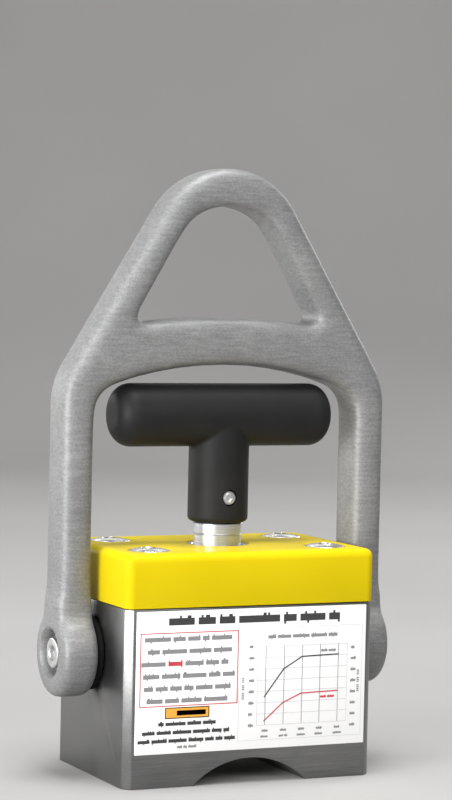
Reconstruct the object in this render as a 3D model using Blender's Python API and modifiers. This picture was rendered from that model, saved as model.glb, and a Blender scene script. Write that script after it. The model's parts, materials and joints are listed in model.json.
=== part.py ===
"""Switchable lifting magnet with a T-handle and a cast swinging bail.

Frame: metres, +Z up, X across the front, -Y the front (label) side. The origin is the middle of
the bottom, between the two pole feet. The handle turns about Z and the bail swings about X.
"""

import math

import bpy
from mathutils import Matrix, Vector

MM = 0.001
GAP = 0.3 * MM                     # left between pieces that touch on the real object

# Housing block and cap
BODY_WIDTH = 116.0 * MM
BODY_DEPTH = 77.6 * MM
BLOCK_HEIGHT = 75.6 * MM
BLOCK_CHAMFER = 3.3 * MM
CAP_TOP = 98.8 * MM
CAP_EDGE_RADIUS = 3.7 * MM
NOTCH_RADIUS = 37.9 * MM
NOTCH_HEIGHT = 10.7 * MM
CAVITY_RADIUS = 36.0 * MM
CAVITY_FLOOR = 13.5 * MM

# Magnets and rotor inside the cavity
MAGNET_RADIUS = 35.0 * MM
FIXED_MAGNET_HEIGHT = 20.9 * MM
SHIM_HEIGHT = 0.6 * MM
ROTATING_MAGNET_HEIGHT = 21.5 * MM
CARRIER_HEIGHT = 12.6 * MM
FLANGE_RADIUS = 18.0 * MM
FLANGE_HEIGHT = 3.4 * MM
STOP_RADIUS = 29.5 * MM            # distance of the stop pin from the handle's axis
STOP_PIN_RADIUS = 2.5 * MM
STOP_PIN_LENGTH = 16.4 * MM
STOP_PIN_IN_CAP = 8.0 * MM
STOP_SLOT_DEPTH = 4.5 * MM
HANDLE_TRAVEL = math.radians(180)
DRIVE_PIN_X = 13.5 * MM
DRIVE_PIN_RADIUS = 2.0 * MM
DRIVE_PIN_LENGTH = 7.4 * MM
DRIVE_PIN_IN_FLANGE = 2.0 * MM
CARRIER_SCREW_HEAD = (6.5 * MM, 5.0 * MM)
CARRIER_SCREW_SHANK = (4.0 * MM, 14.0 * MM)
CARRIER_SCREW_RECESS = 0.4 * MM

# Detent, in a blind hole from the cap's underside
DETENT_RADIUS = 21.8 * MM          # distance of the plunger from the handle's axis
DIMPLE_DEPTH = 1.5 * MM
PLUNGER_RADIUS = 3.0 * MM
PLUNGER_TOP = 7.3 * MM             # above the cap's underside, like the two heights of the spring
SPRING_BOTTOM = 7.6 * MM
SPRING_TOP = 16.4 * MM
SPRING_WIRE_RADIUS = 0.35 * MM
SPRING_TURNS = 4
DETENT_HOLE_DEPTH = 17.0 * MM

# Shaft and T-handle
SHAFT_RADIUS = 10.7 * MM
SHAFT_LOWER_RADIUS = 10.45 * MM
SHAFT_STEP_Z = 103.2 * MM
SHAFT_GROOVE = 0.35 * MM
SPIGOT_RADIUS = 8.0 * MM           # lower end of the shaft, centred in the carrier
SPIGOT_LENGTH = 3.0 * MM
TENON_RADIUS = 7.5 * MM            # thin upper end of the shaft, inside the stem
TENON_TOP = 133.0 * MM
TENON_CHAMFER = 1.0 * MM
BUSH_OUTER_RADIUS = 12.5 * MM
BUSH_FLANGE_RADIUS = 13.7 * MM
BUSH_FLANGE_TOP = CAP_TOP - 0.5 * MM
BUSH_FLANGE_HEIGHT = 1.4 * MM
BUSH_BOTTOM = 4.0 * MM             # above the cap's underside, as is the seal
SEAL_Z = 1.6 * MM
SEAL_TUBE_RADIUS = 0.85 * MM
STEM_RADIUS = 13.2 * MM
STEM_BOTTOM = 108.4 * MM
STEM_CHAMFER = 2.3 * MM
BAR_RADIUS = 13.75 * MM
BAR_LENGTH = 101.6 * MM
BAR_Z = 155.0 * MM
BAR_END_RADIUS = 8.5 * MM
HANDLE_SCREW_Z = 119.4 * MM
HANDLE_SCREW_RADIUS = 3.0 * MM
HANDLE_SCREW_SHANK_RADIUS = 2.4 * MM
HANDLE_SCREW_SINK = 0.6 * MM

# Cap screws
CAP_SCREW_X = 41.6 * MM
CAP_SCREW_Y = 22.0 * MM
CAP_SCREW_HEAD_RADIUS = 8.75 * MM
CAP_SCREW_HEAD_HEIGHT = 4.0 * MM
CAP_SCREW_DOME = 0.7 * MM
CAP_SCREW_PROUD = 1.2 * MM         # of the cap's top
CAP_SCREW_SEAT_DEPTH = 3.1 * MM
CAP_SCREW_LENGTH = 36.0 * MM
M8_RADIUS = 4.0 * MM
M8_SOCKET = (6.0 * MM, 2.2 * MM)   # across flats, depth

# Bail
PIVOT_Z = 53.3 * MM
BAIL_DEPTH = 21.0 * MM
BAIL_EDGE_RADIUS = 4.5 * MM
LEG_INNER = 62.2 * MM
LEG_OUTER = 76.2 * MM
BOSS_INNER = 61.6 * MM
BOSS_OUTER = 77.0 * MM
BOSS_RADIUS = 18.5 * MM
SHOULDER_Z = 168.9 * MM
SHOULDER_RADIUS = 30.0 * MM
OUTER_APEX_Z = 294.7 * MM          # where the outer sides would meet without the top arc
OUTER_TOP_RADIUS = 35.6 * MM
EYE_APEX_Z = 273.9 * MM            # where the eye's sides would meet without the top arc
EYE_TOP_RADIUS = 27.6 * MM
EYE_HALF_ANGLE = math.radians(30)
EYE_BOTTOM_Z = 197.0 * MM
EYE_BOTTOM_RISE = 3.6 * MM
EYE_CORNER_RADIUS = 4.0 * MM
ARCH_Z = 177.4 * MM                # underside of the crossbar, at its middle
ARCH_RADIUS = 168.0 * MM
WINDOW_CORNER_RADIUS = 14.0 * MM
RECESS_RADIUS = 9.5 * MM
RECESS_DEPTH = 4.6 * MM
PIVOT_BUSH_RADIUS = 7.0 * MM
PIVOT_SHOULDER_RADIUS = 5.0 * MM
PIVOT_THREAD_LENGTH = 14.0 * MM
PIVOT_HEAD_RADIUS = 6.5 * MM
PIVOT_HEAD_HEIGHT = 3.6 * MM
PIVOT_HEAD_INSET = 0.7 * MM        # of the head from the boss's outer face
PIVOT_WASHER_RADIUS = 10.0 * MM
NECK_TOP = 86.0 * MM               # the leg thickens to the boss from here down to NECK_BOTTOM
NECK_BOTTOM = 72.0 * MM
NECK_BLEND = 6.0 * MM

# Labels
LABEL_WIDTH = 107.6 * MM
LABEL_BOTTOM = 14.6 * MM
LABEL_TOP = 74.8 * MM
LABEL_THICKNESS = 0.5 * MM

# Heights of the stack inside the cavity, from its floor up
FIXED_MAGNET_Z = CAVITY_FLOOR + GAP
SHIM_Z = FIXED_MAGNET_Z + FIXED_MAGNET_HEIGHT + GAP
ROTATING_MAGNET_Z = SHIM_Z + SHIM_HEIGHT + GAP
CARRIER_Z = ROTATING_MAGNET_Z + ROTATING_MAGNET_HEIGHT + GAP
CARRIER_TOP = CARRIER_Z + CARRIER_HEIGHT
FLANGE_Z = CARRIER_TOP + GAP
CAP_BOTTOM = BLOCK_HEIGHT + GAP

ROUND = 32                         # sides of a normal round piece
FINE = 48                          # sides of a large round piece

FINISHES = {                       # base colour, roughness, metallic
    "block_steel": ((0.33, 0.33, 0.34), 0.45, 1.0),
    "yellow_paint": ((0.90, 0.76, 0.02), 0.35, 0.0),
    "bright_steel": ((0.75, 0.75, 0.76), 0.25, 1.0),
    "cast_bail": ((0.36, 0.37, 0.38), 0.60, 0.3),
    "black_plastic": ((0.03, 0.03, 0.03), 0.55, 0.0),
    "bronze": ((0.60, 0.42, 0.20), 0.40, 1.0),
    "magnet_nickel": ((0.55, 0.54, 0.52), 0.30, 1.0),
    "seal_rubber": ((0.02, 0.02, 0.02), 0.70, 0.0),
    "label_white": ((0.85, 0.85, 0.85), 0.40, 0.0),
}


# ---------------------------------------------------------------- scene helpers

def clear_scene():
    for obj in list(bpy.data.objects):
        bpy.data.objects.remove(obj, do_unlink=True)


def new_collection(name):
    collection = bpy.data.collections.new(name)
    bpy.context.scene.collection.children.link(collection)
    return collection


def make_material(name):
    color, roughness, metallic = FINISHES[name]
    material = bpy.data.materials.new(name)
    material.use_nodes = True
    shader = material.node_tree.nodes["Principled BSDF"]
    shader.inputs["Base Color"].default_value = (*color, 1.0)
    shader.inputs["Roughness"].default_value = roughness
    shader.inputs["Metallic"].default_value = metallic
    return material


def new_axis(name, location):
    empty = bpy.data.objects.new(name, None)
    empty.location = location
    empty.empty_display_size = 0.02
    PARTS.objects.link(empty)
    return empty


def new_part(name, mesh, finish, location=(0, 0, 0), turn=None, axis=None):
    """Names a mesh as a sub-part, at a place in the world, riding on an axis empty if given."""
    part = bpy.data.objects.new(name, mesh)
    PARTS.objects.link(part)
    mesh.materials.clear()
    mesh.materials.append(MATERIALS[finish])
    part.location = Vector(location)
    if turn:
        part.rotation_euler = turn
    if axis:
        part.parent = axis
        part.location = Vector(location) - axis.location
    return part


def new_cutter(name, mesh, location=(0, 0, 0), turn=None):
    cutter = bpy.data.objects.new(name, mesh)
    CUTTERS.objects.link(cutter)
    cutter.location = location
    if turn:
        cutter.rotation_euler = turn
    cutter.hide_render = True
    cutter.display_type = "WIRE"
    return cutter


def combine(part, cutter, operation="DIFFERENCE"):
    """Adds a Boolean to the part, and puts the cutter in the part's own frame."""
    if part.parent:
        cutter.parent = part.parent
        cutter.location = cutter.location - part.parent.location
    modifier = part.modifiers.new(cutter.name, "BOOLEAN")
    modifier.operation = operation
    modifier.object = cutter
    modifier.solver = "EXACT"


def round_edges(part, width, segments=3, angle=40):
    modifier = part.modifiers.new("edge_radius", "BEVEL")
    modifier.width = width
    modifier.segments = segments
    modifier.limit_method = "ANGLE"
    modifier.angle_limit = math.radians(angle)
    modifier.use_clamp_overlap = False


def evaluated_mesh(obj, matrix=None):
    """The object's mesh with its modifiers applied; the object itself is removed."""
    mesh = bpy.data.meshes.new_from_object(obj.evaluated_get(bpy.context.evaluated_depsgraph_get()))
    mesh.transform(matrix or obj.matrix_basis)
    bpy.data.objects.remove(obj, do_unlink=True)
    return mesh


def bevel_chosen(part, width, segments, chosen):
    """Bevels the edges that chosen picks from the places of their two ends."""
    weights = part.data.attributes.new("bevel_weight_edge", "FLOAT", "EDGE")
    for edge in part.data.edges:
        a, b = (part.data.vertices[i].co for i in edge.vertices)
        weights.data[edge.index].value = float(chosen(a, b))
    bevel = part.modifiers.new("chosen_edges", "BEVEL")
    bevel.width = width
    bevel.segments = segments
    bevel.limit_method = "WEIGHT"


# ---------------------------------------------------------------- shapes

def welded_mesh(curve):
    blank = bpy.data.objects.new("blank", curve)
    bpy.context.scene.collection.objects.link(blank)
    weld = blank.modifiers.new("weld", "WELD")
    weld.merge_threshold = 0.00001
    bpy.context.view_layer.update()
    return evaluated_mesh(blank)


def box_mesh(size_x, size_y, size_z):
    bpy.ops.mesh.primitive_cube_add(size=1)
    cube = bpy.context.object
    cube.scale = (size_x, size_y, size_z)
    bpy.context.view_layer.update()
    return evaluated_mesh(cube, Matrix.Diagonal((size_x, size_y, size_z, 1)))


def cylinder_mesh(radius, depth, sides=ROUND):
    bpy.ops.mesh.primitive_cylinder_add(vertices=sides, radius=radius, depth=depth)
    return evaluated_mesh(bpy.context.object)


def turned_mesh(profile, sides=ROUND, ring=False):
    """Turns (radius, z) points about Z. They run down the outer side, from top to bottom."""
    curve = bpy.data.meshes.new("profile")
    edges = [(i, i + 1) for i in range(len(profile) - 1)]
    if ring:
        edges.append((len(profile) - 1, 0))
    curve.from_pydata([(r, 0, z) for r, z in profile], edges, [])
    blank = bpy.data.objects.new("blank", curve)
    bpy.context.scene.collection.objects.link(blank)
    screw = blank.modifiers.new("turn", "SCREW")
    screw.axis = "Z"
    screw.angle = math.tau
    screw.steps = screw.render_steps = sides
    screw.use_merge_vertices = True
    screw.merge_threshold = 0.00001
    screw.use_smooth_shade = True
    bpy.context.view_layer.update()
    return evaluated_mesh(blank)


def ring_mesh(inner, outer, bottom, top, sides=ROUND):
    return turned_mesh([(outer, top), (outer, bottom), (inner, bottom), (inner, top)], sides, ring=True)


def arc(center, radius, start, end, steps):
    """Points on an arc in a plane, from the start angle to the end angle."""
    angles = [start + (end - start) * i / steps for i in range(steps + 1)]
    return [(center[0] + radius * math.cos(a), center[1] + radius * math.sin(a)) for a in angles]


def rounded(corners):
    """A closed outline from (x, y, radius, steps) corners, each rounded to its radius."""
    outline = []
    for i, (x, y, radius, steps) in enumerate(corners):
        here = Vector((x, y))
        if not radius:
            outline.append((x, y))
            continue
        before = Vector(corners[i - 1][:2]) - here
        after = Vector(corners[(i + 1) % len(corners)][:2]) - here
        half = before.angle(after) / 2
        center = here + (before.normalized() + after.normalized()).normalized() * radius / math.sin(half)
        start = here + before.normalized() * radius / math.tan(half) - center
        sweep = start.angle_signed(here + after.normalized() * radius / math.tan(half) - center)
        first = math.atan2(start.y, start.x)
        outline += arc(center, radius, first, first - sweep, steps)
    return outline


def plate_mesh(outlines, thickness):
    """A flat plate from closed outlines, the later ones being holes, centred on its thickness."""
    curve = bpy.data.curves.new("outline", "CURVE")
    curve.dimensions = "2D"
    curve.fill_mode = "BOTH"
    curve.extrude = thickness / 2
    for outline in outlines:
        spline = curve.splines.new("POLY")
        spline.points.add(len(outline) - 1)
        for point, (x, y) in zip(spline.points, outline):
            point.co = (x, y, 0, 1)
        spline.use_cyclic_u = True
    return welded_mesh(curve)


STANDING = (math.pi / 2, 0, 0)     # turns a flat XY plate to stand in the XZ plane
FACING_LEFT = (0, -math.pi / 2, 0)     # turns +Z to -X
FACING_RIGHT = (0, math.pi / 2, 0)     # turns +Z to +X
FACING_FRONT = (math.pi / 2, 0, 0)     # turns +Z to -Y
SIDES = (("left", -1, FACING_LEFT), ("right", 1, FACING_RIGHT))


def screw_part(name, head, shank, socket, location, turn=None, axis=None, dome=0.0):
    """A socket screw. Its head's top centre is at the location and its shank points down -Z.

    head and shank are (radius, length); socket is (width across flats, depth).
    """
    head_radius, head_height = head
    shank_radius, shank_length = shank
    chamfer = 0.08 * head_radius
    profile = [(0, 0), (0.55 * head_radius, -0.15 * dome), (head_radius - chamfer, -dome),
               (head_radius, -dome - chamfer), (head_radius, -head_height), (shank_radius, -head_height),
               (shank_radius, -head_height - shank_length + chamfer),
               (shank_radius - chamfer, -head_height - shank_length), (0, -head_height - shank_length)]
    part = new_part(name, turned_mesh(profile, 24), "bright_steel", location, turn, axis)
    hexagon = cylinder_mesh(socket[0] / math.sqrt(3), 2 * socket[1], 6)
    combine(part, new_cutter(name + "_socket", hexagon, location, turn))
    return part


# ---------------------------------------------------------------- housing

def housing_block():
    block = new_part("housing_block", box_mesh(BODY_WIDTH, BODY_DEPTH, BLOCK_HEIGHT), "block_steel",
                     (0, 0, BLOCK_HEIGHT / 2))
    bevel_chosen(block, BLOCK_CHAMFER, 1, lambda a, b: a.z != b.z)
    notch = cylinder_mesh(NOTCH_RADIUS, BODY_DEPTH * 2, 80)
    combine(block, new_cutter("notch", notch, (0, 0, NOTCH_HEIGHT - NOTCH_RADIUS), STANDING))
    depth = BLOCK_HEIGHT - CAVITY_FLOOR
    cavity = cylinder_mesh(CAVITY_RADIUS, depth * 2, FINE)
    combine(block, new_cutter("cavity", cavity, (0, 0, CAVITY_FLOOR + depth)))
    for side, sign, turn in SIDES:
        hole = cylinder_mesh(M8_RADIUS + GAP, 2 * (PIVOT_THREAD_LENGTH + 2 * MM), 24)
        combine(block, new_cutter("pivot_hole_" + side, hole, (sign * BODY_WIDTH / 2, 0, PIVOT_Z), turn))
    for name, x, y in cap_screw_places():
        hole = cylinder_mesh(M8_RADIUS + GAP, 2 * 20 * MM, 24)
        combine(block, new_cutter("block_hole_" + name, hole, (x, y, BLOCK_HEIGHT)))


def cap_screw_places():
    return [(f"{end}_{side}", sx * CAP_SCREW_X, sy * CAP_SCREW_Y)
            for end, sy in (("front", -1), ("rear", 1)) for side, sx in (("left", -1), ("right", 1))]


def top_cap():
    height = CAP_TOP - CAP_BOTTOM
    cap = new_part("top_cap", box_mesh(BODY_WIDTH, BODY_DEPTH, height), "yellow_paint",
                   (0, 0, CAP_BOTTOM + height / 2))
    bevel_chosen(cap, CAP_EDGE_RADIUS, 4, lambda a, b: a.z > 0 or b.z > 0)
    bore = cylinder_mesh(BUSH_OUTER_RADIUS + GAP, height * 3, ROUND)
    combine(cap, new_cutter("cap_bore", bore, (0, 0, CAP_TOP)))
    recess_depth = CAP_TOP - BUSH_FLANGE_TOP + BUSH_FLANGE_HEIGHT + GAP
    recess = cylinder_mesh(BUSH_FLANGE_RADIUS + GAP, recess_depth * 2, ROUND)
    combine(cap, new_cutter("cap_recess", recess, (0, 0, CAP_TOP)))
    for name, x, y in cap_screw_places():
        hole = cylinder_mesh(M8_RADIUS + 0.4 * MM, height * 3, 24)
        combine(cap, new_cutter("cap_hole_" + name, hole, (x, y, CAP_TOP)))
        seat = cylinder_mesh(CAP_SCREW_HEAD_RADIUS + GAP, 2 * CAP_SCREW_SEAT_DEPTH, 32)
        combine(cap, new_cutter("cap_seat_" + name, seat, (x, y, CAP_TOP)))
    stop_hole = cylinder_mesh(STOP_PIN_RADIUS + GAP, 2 * (STOP_PIN_IN_CAP + GAP), 24)
    combine(cap, new_cutter("stop_hole", stop_hole, (0, STOP_RADIUS, CAP_BOTTOM)))
    plunger_hole = cylinder_mesh(PLUNGER_RADIUS + GAP, 2 * DETENT_HOLE_DEPTH, 24)
    combine(cap, new_cutter("plunger_hole", plunger_hole, (0, -DETENT_RADIUS, CAP_BOTTOM)))


def cap_screws():
    for name, x, y in cap_screw_places():
        screw_part("cap_screw_" + name, (CAP_SCREW_HEAD_RADIUS, CAP_SCREW_HEAD_HEIGHT),
                   (M8_RADIUS, CAP_SCREW_LENGTH), M8_SOCKET, (x, y, CAP_TOP + CAP_SCREW_PROUD),
                   dome=CAP_SCREW_DOME)


def fixed_magnet():
    disc = cylinder_mesh(MAGNET_RADIUS, FIXED_MAGNET_HEIGHT, FINE)
    new_part("fixed_magnet", disc, "magnet_nickel", (0, 0, FIXED_MAGNET_Z + FIXED_MAGNET_HEIGHT / 2))
    shim = cylinder_mesh(MAGNET_RADIUS, SHIM_HEIGHT, FINE)
    new_part("magnet_shim", shim, "bronze", (0, 0, SHIM_Z + SHIM_HEIGHT / 2))


def shaft_bush():
    """The flanged bush that the shaft turns in, with the seal below it."""
    bore = SHAFT_RADIUS + GAP
    under = BUSH_FLANGE_TOP - BUSH_FLANGE_HEIGHT
    bottom = CAP_BOTTOM + BUSH_BOTTOM
    bush = turned_mesh([(BUSH_FLANGE_RADIUS, BUSH_FLANGE_TOP), (BUSH_FLANGE_RADIUS, under),
                        (BUSH_OUTER_RADIUS, under), (BUSH_OUTER_RADIUS, bottom), (bore, bottom),
                        (bore, BUSH_FLANGE_TOP)], ROUND, ring=True)
    new_part("shaft_bush", bush, "bright_steel")
    center = (bore + SEAL_TUBE_RADIUS, CAP_BOTTOM + SEAL_Z)
    section = arc(center, SEAL_TUBE_RADIUS, math.pi / 2, -3 * math.pi / 2, 8)
    new_part("shaft_seal", turned_mesh(section[:-1], 24, ring=True), "seal_rubber")


def thrust_washer():
    bottom = FLANGE_Z + FLANGE_HEIGHT + GAP
    washer = ring_mesh(SHAFT_RADIUS + 2 * GAP, FLANGE_RADIUS, bottom, CAP_BOTTOM - GAP)
    new_part("thrust_washer", washer, "bronze")


def stop_pin():
    pin = cylinder_mesh(STOP_PIN_RADIUS, STOP_PIN_LENGTH, 24)
    middle = CAP_BOTTOM + STOP_PIN_IN_CAP - STOP_PIN_LENGTH / 2
    new_part("stop_pin", pin, "bright_steel", (0, STOP_RADIUS, middle))


def detent_spring():
    """A coil between the plunger's top and the end of its hole in the cap."""
    first = CAP_BOTTOM + SPRING_BOTTOM + SPRING_WIRE_RADIUS
    rise = SPRING_TOP - SPRING_BOTTOM - 2 * SPRING_WIRE_RADIUS
    radius = PLUNGER_RADIUS - 2 * SPRING_WIRE_RADIUS
    per_turn = 10
    steps = SPRING_TURNS * per_turn
    curve = bpy.data.curves.new("spring", "CURVE")
    curve.dimensions = "3D"
    curve.bevel_depth = SPRING_WIRE_RADIUS
    curve.bevel_resolution = 1
    curve.use_fill_caps = True
    spline = curve.splines.new("POLY")
    spline.points.add(steps)
    for i, point in enumerate(spline.points):
        angle = math.tau * i / per_turn
        point.co = (radius * math.cos(angle), radius * math.sin(angle) - DETENT_RADIUS,
                    first + rise * i / steps, 1)
    new_part("detent_spring", welded_mesh(curve), "bright_steel")


def labels():
    half = LABEL_WIDTH / 2
    corners = [(-half, LABEL_BOTTOM), (half, LABEL_BOTTOM), (half, LABEL_TOP), (-half, LABEL_TOP)]
    outline = rounded([(x, z, 1.0 * MM, 3) for x, z in corners])
    offset = BODY_DEPTH / 2 + GAP + LABEL_THICKNESS / 2
    for name, y in (("front_label", -offset), ("rear_label", offset)):
        new_part(name, plate_mesh([outline], LABEL_THICKNESS), "label_white", (0, y, 0), STANDING)


# ---------------------------------------------------------------- rotor

def rotor(axis):
    disc = cylinder_mesh(MAGNET_RADIUS, ROTATING_MAGNET_HEIGHT, FINE)
    new_part("rotating_magnet", disc, "magnet_nickel",
             (0, 0, ROTATING_MAGNET_Z + ROTATING_MAGNET_HEIGHT / 2), axis=axis)
    magnet_carrier(axis)
    shaft(axis)
    for side, sign, _ in SIDES:
        pin = cylinder_mesh(DRIVE_PIN_RADIUS, DRIVE_PIN_LENGTH, 16)
        middle = FLANGE_Z + DRIVE_PIN_IN_FLANGE - DRIVE_PIN_LENGTH / 2
        new_part("drive_pin_" + side, pin, "bright_steel", (sign * DRIVE_PIN_X, 0, middle), axis=axis)
    screw_part("carrier_screw", CARRIER_SCREW_HEAD, CARRIER_SCREW_SHANK, (6 * MM, 2.8 * MM),
               (0, 0, CARRIER_Z + CARRIER_SCREW_RECESS), turn=(math.pi, 0, 0), axis=axis)
    t_handle(axis)
    screw_part("handle_screw", (HANDLE_SCREW_RADIUS, 3 * MM), (HANDLE_SCREW_SHANK_RADIUS, 8 * MM),
               (3 * MM, 1.8 * MM), (0, HANDLE_SCREW_SINK - STEM_RADIUS, HANDLE_SCREW_Z), FACING_FRONT, axis)


def magnet_carrier(axis):
    carrier = new_part("magnet_carrier", cylinder_mesh(MAGNET_RADIUS, CARRIER_HEIGHT, FINE),
                       "block_steel", (0, 0, CARRIER_Z + CARRIER_HEIGHT / 2), axis=axis)
    head_radius, head_height = CARRIER_SCREW_HEAD
    seat_depth = CARRIER_SCREW_RECESS + head_height + 0.5 * MM
    head_seat = cylinder_mesh(head_radius + 0.5 * MM, 2 * seat_depth, 32)
    combine(carrier, new_cutter("carrier_head_seat", head_seat, (0, 0, CARRIER_Z)))
    hole = cylinder_mesh(CARRIER_SCREW_SHANK[0] + 0.5 * MM, 60 * MM, 24)
    combine(carrier, new_cutter("carrier_hole", hole, (0, 0, CARRIER_Z)))
    spigot_seat = cylinder_mesh(SPIGOT_RADIUS + GAP, 2 * (SPIGOT_LENGTH + GAP), 32)
    combine(carrier, new_cutter("carrier_spigot_seat", spigot_seat, (0, 0, CARRIER_TOP)))
    for side, sign, _ in SIDES:
        pin_hole = cylinder_mesh(DRIVE_PIN_RADIUS + GAP, 2 * 6 * MM, 16)
        combine(carrier, new_cutter("carrier_pin_" + side, pin_hole, (sign * DRIVE_PIN_X, 0, CARRIER_TOP)))
    for end, sign in (("front", -1), ("rear", 1)):
        dimple = cylinder_mesh(PLUNGER_RADIUS + 2 * GAP, 2 * DIMPLE_DEPTH, 24)
        combine(carrier, new_cutter("dimple_" + end, dimple, (0, sign * DETENT_RADIUS, CARRIER_TOP)))
    slot = plate_mesh([slot_outline()], 2 * STOP_SLOT_DEPTH)
    combine(carrier, new_cutter("stop_slot", slot, (0, 0, CARRIER_TOP)))


def slot_outline():
    """The stop pin's curved slot: half a turn long, from the rear round the right to the front."""
    half_width = STOP_PIN_RADIUS + 2 * GAP
    rear = math.pi / 2
    front = rear - HANDLE_TRAVEL
    rear_end = (0, STOP_RADIUS)
    front_end = (STOP_RADIUS * math.cos(front), STOP_RADIUS * math.sin(front))
    return (arc((0, 0), STOP_RADIUS + half_width, front, rear, 20)
            + arc(rear_end, half_width, rear, rear + math.pi, 8)[1:-1]
            + arc((0, 0), STOP_RADIUS - half_width, rear, front, 20)
            + arc(front_end, half_width, front - math.pi, front, 8)[1:-1])


def shaft(axis):
    flange_top = FLANGE_Z + FLANGE_HEIGHT
    spigot_bottom = CARRIER_TOP - SPIGOT_LENGTH
    groove = SHAFT_GROOVE
    shoulder = STEM_BOTTOM - GAP
    profile = [(0, TENON_TOP), (TENON_RADIUS - TENON_CHAMFER, TENON_TOP),
               (TENON_RADIUS, TENON_TOP - TENON_CHAMFER),
               (TENON_RADIUS, shoulder), (SHAFT_RADIUS, shoulder), (SHAFT_RADIUS, SHAFT_STEP_Z + groove),
               (SHAFT_LOWER_RADIUS - groove, SHAFT_STEP_Z), (SHAFT_LOWER_RADIUS, SHAFT_STEP_Z - groove),
               (SHAFT_LOWER_RADIUS, flange_top), (FLANGE_RADIUS, flange_top), (FLANGE_RADIUS, FLANGE_Z),
               (SPIGOT_RADIUS, FLANGE_Z), (SPIGOT_RADIUS, spigot_bottom), (0, spigot_bottom)]
    part = new_part("shaft", turned_mesh(profile, ROUND), "bright_steel", axis=axis)
    tapped = cylinder_mesh(CARRIER_SCREW_SHANK[0] + GAP, 2 * 12.5 * MM, 24)
    combine(part, new_cutter("shaft_tapped_hole", tapped, (0, 0, spigot_bottom)))
    for side, sign, _ in SIDES:
        pin_hole = cylinder_mesh(DRIVE_PIN_RADIUS + GAP, 2 * (DRIVE_PIN_IN_FLANGE + 0.4 * MM), 16)
        combine(part, new_cutter("shaft_pin_" + side, pin_hole, (sign * DRIVE_PIN_X, 0, FLANGE_Z)))
    screw_hole = cylinder_mesh(HANDLE_SCREW_SHANK_RADIUS + GAP, 2 * 6.5 * MM, 16)
    combine(part, new_cutter("shaft_screw_hole", screw_hole, (0, -TENON_RADIUS, HANDLE_SCREW_Z),
                             FACING_FRONT))


def t_handle(axis):
    half = BAR_LENGTH / 2
    end = arc((BAR_RADIUS - BAR_END_RADIUS, half - BAR_END_RADIUS), BAR_END_RADIUS, math.pi / 2, 0, 5)
    profile = [(0, half)] + end + [(r, -z) for r, z in reversed(end)] + [(0, -half)]
    handle = new_part("t_handle", turned_mesh(profile, ROUND), "black_plastic", (0, 0, BAR_Z),
                      FACING_RIGHT, axis)
    stem_profile = [(0, BAR_Z), (STEM_RADIUS, BAR_Z), (STEM_RADIUS, STEM_BOTTOM + STEM_CHAMFER),
                    (STEM_RADIUS - STEM_CHAMFER, STEM_BOTTOM), (0, STEM_BOTTOM)]
    combine(handle, new_cutter("stem", turned_mesh(stem_profile, ROUND)), "UNION")
    bore = cylinder_mesh(TENON_RADIUS + GAP, 2 * (TENON_TOP + GAP - STEM_BOTTOM), ROUND)
    combine(handle, new_cutter("stem_bore", bore, (0, 0, STEM_BOTTOM)))
    hole = cylinder_mesh(HANDLE_SCREW_RADIUS + 2 * GAP, 2 * 10 * MM, 24)
    combine(handle, new_cutter("stem_screw_hole", hole, (0, -STEM_RADIUS, HANDLE_SCREW_Z), FACING_FRONT))


def detent_plunger(axis):
    """A pin with a round nose, held in the cap just clear of the carrier's top."""
    nose = CARRIER_TOP + GAP
    top = CAP_BOTTOM + PLUNGER_TOP
    nose_arc = arc((0, nose + PLUNGER_RADIUS), PLUNGER_RADIUS, 0, -math.pi / 2, 5)
    profile = [(0, top), (PLUNGER_RADIUS, top)] + nose_arc[:-1] + [(0, nose)]
    new_part("detent_plunger", turned_mesh(profile, 24), "bright_steel", (0, -DETENT_RADIUS, 0), axis=axis)


# ---------------------------------------------------------------- bail

def mirrored(right_half):
    """A closed outline from the corners of its right half, which start and end near X = 0."""
    left = [(-x, y, radius, steps) for x, y, radius, steps in reversed(right_half) if x > 1e-6]
    return rounded(right_half + left)


def arch_height(x, top, radius):
    return top - radius + math.sqrt(radius * radius - x * x)


def bail_outline():
    """Outer sides, legs and crossbar's underside, as corners from the apex down the right side."""
    side = [(0, OUTER_APEX_Z, OUTER_TOP_RADIUS, 20), (LEG_OUTER, SHOULDER_Z, SHOULDER_RADIUS, 8),
            (LEG_OUTER, NECK_TOP, 0, 0), (BOSS_OUTER - 0.2 * MM, NECK_BOTTOM, 0, 0),
            (BOSS_OUTER - 0.2 * MM, PIVOT_Z, 0, 0), (BOSS_INNER + 0.2 * MM, PIVOT_Z, 0, 0),
            (BOSS_INNER + 0.2 * MM, NECK_BOTTOM, 0, 0), (LEG_INNER, NECK_TOP, 0, 0),
            (LEG_INNER, arch_height(LEG_INNER, ARCH_Z, ARCH_RADIUS), WINDOW_CORNER_RADIUS, 8)]
    side += [(x * MM, arch_height(x * MM, ARCH_Z, ARCH_RADIUS), 0, 0) for x in (44, 33, 22, 11, 0)]
    return mirrored(side)


def eye_outline():
    """The hook eye: straight sides, a round top, small corner radii and a slightly arched bottom."""
    corner_z = EYE_BOTTOM_Z - EYE_BOTTOM_RISE
    corner_x = (EYE_APEX_Z - corner_z) * math.tan(EYE_HALF_ANGLE)
    side = [(0, EYE_APEX_Z, EYE_TOP_RADIUS, 16), (corner_x, corner_z, EYE_CORNER_RADIUS, 6)]
    for step in (0.75, 0.5, 0.25, 0):
        side.append((corner_x * step, EYE_BOTTOM_Z - EYE_BOTTOM_RISE * step * step, 0, 0))
    return mirrored(side)


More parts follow.
